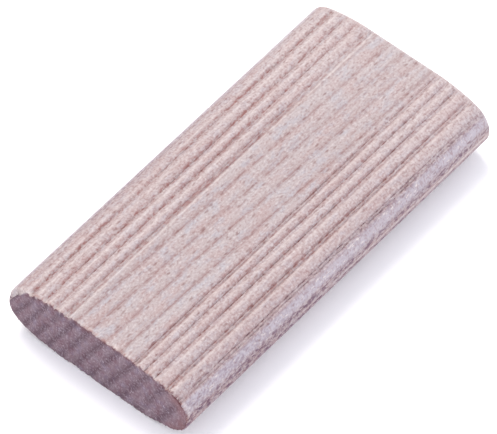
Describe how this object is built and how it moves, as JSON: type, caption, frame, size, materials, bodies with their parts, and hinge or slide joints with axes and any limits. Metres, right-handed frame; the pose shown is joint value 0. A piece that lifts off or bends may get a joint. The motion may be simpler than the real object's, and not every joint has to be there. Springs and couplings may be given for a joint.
{
  "type": "loose tenon",
  "caption": "Flat oval beech tenon with rounded long edges and lengthwise glue flutes on both faces, glued into mortises to join two boards.",
  "frame": {"origin": "centre of the tenon, on the joint line of the two boards and midway between its faces", "axes": "+X along the tenon and its grain, +Y across its width towards a rounded long edge, +Z out of the upper fluted face"},
  "size_m": [0.04, 0.0196, 0.0064],
  "materials": {
    "beech": "unfinished, matt, moulded and pressed"
  },
  "bodies": {
    "root": {"tenon": "beech"}
  },
  "joints": []
}
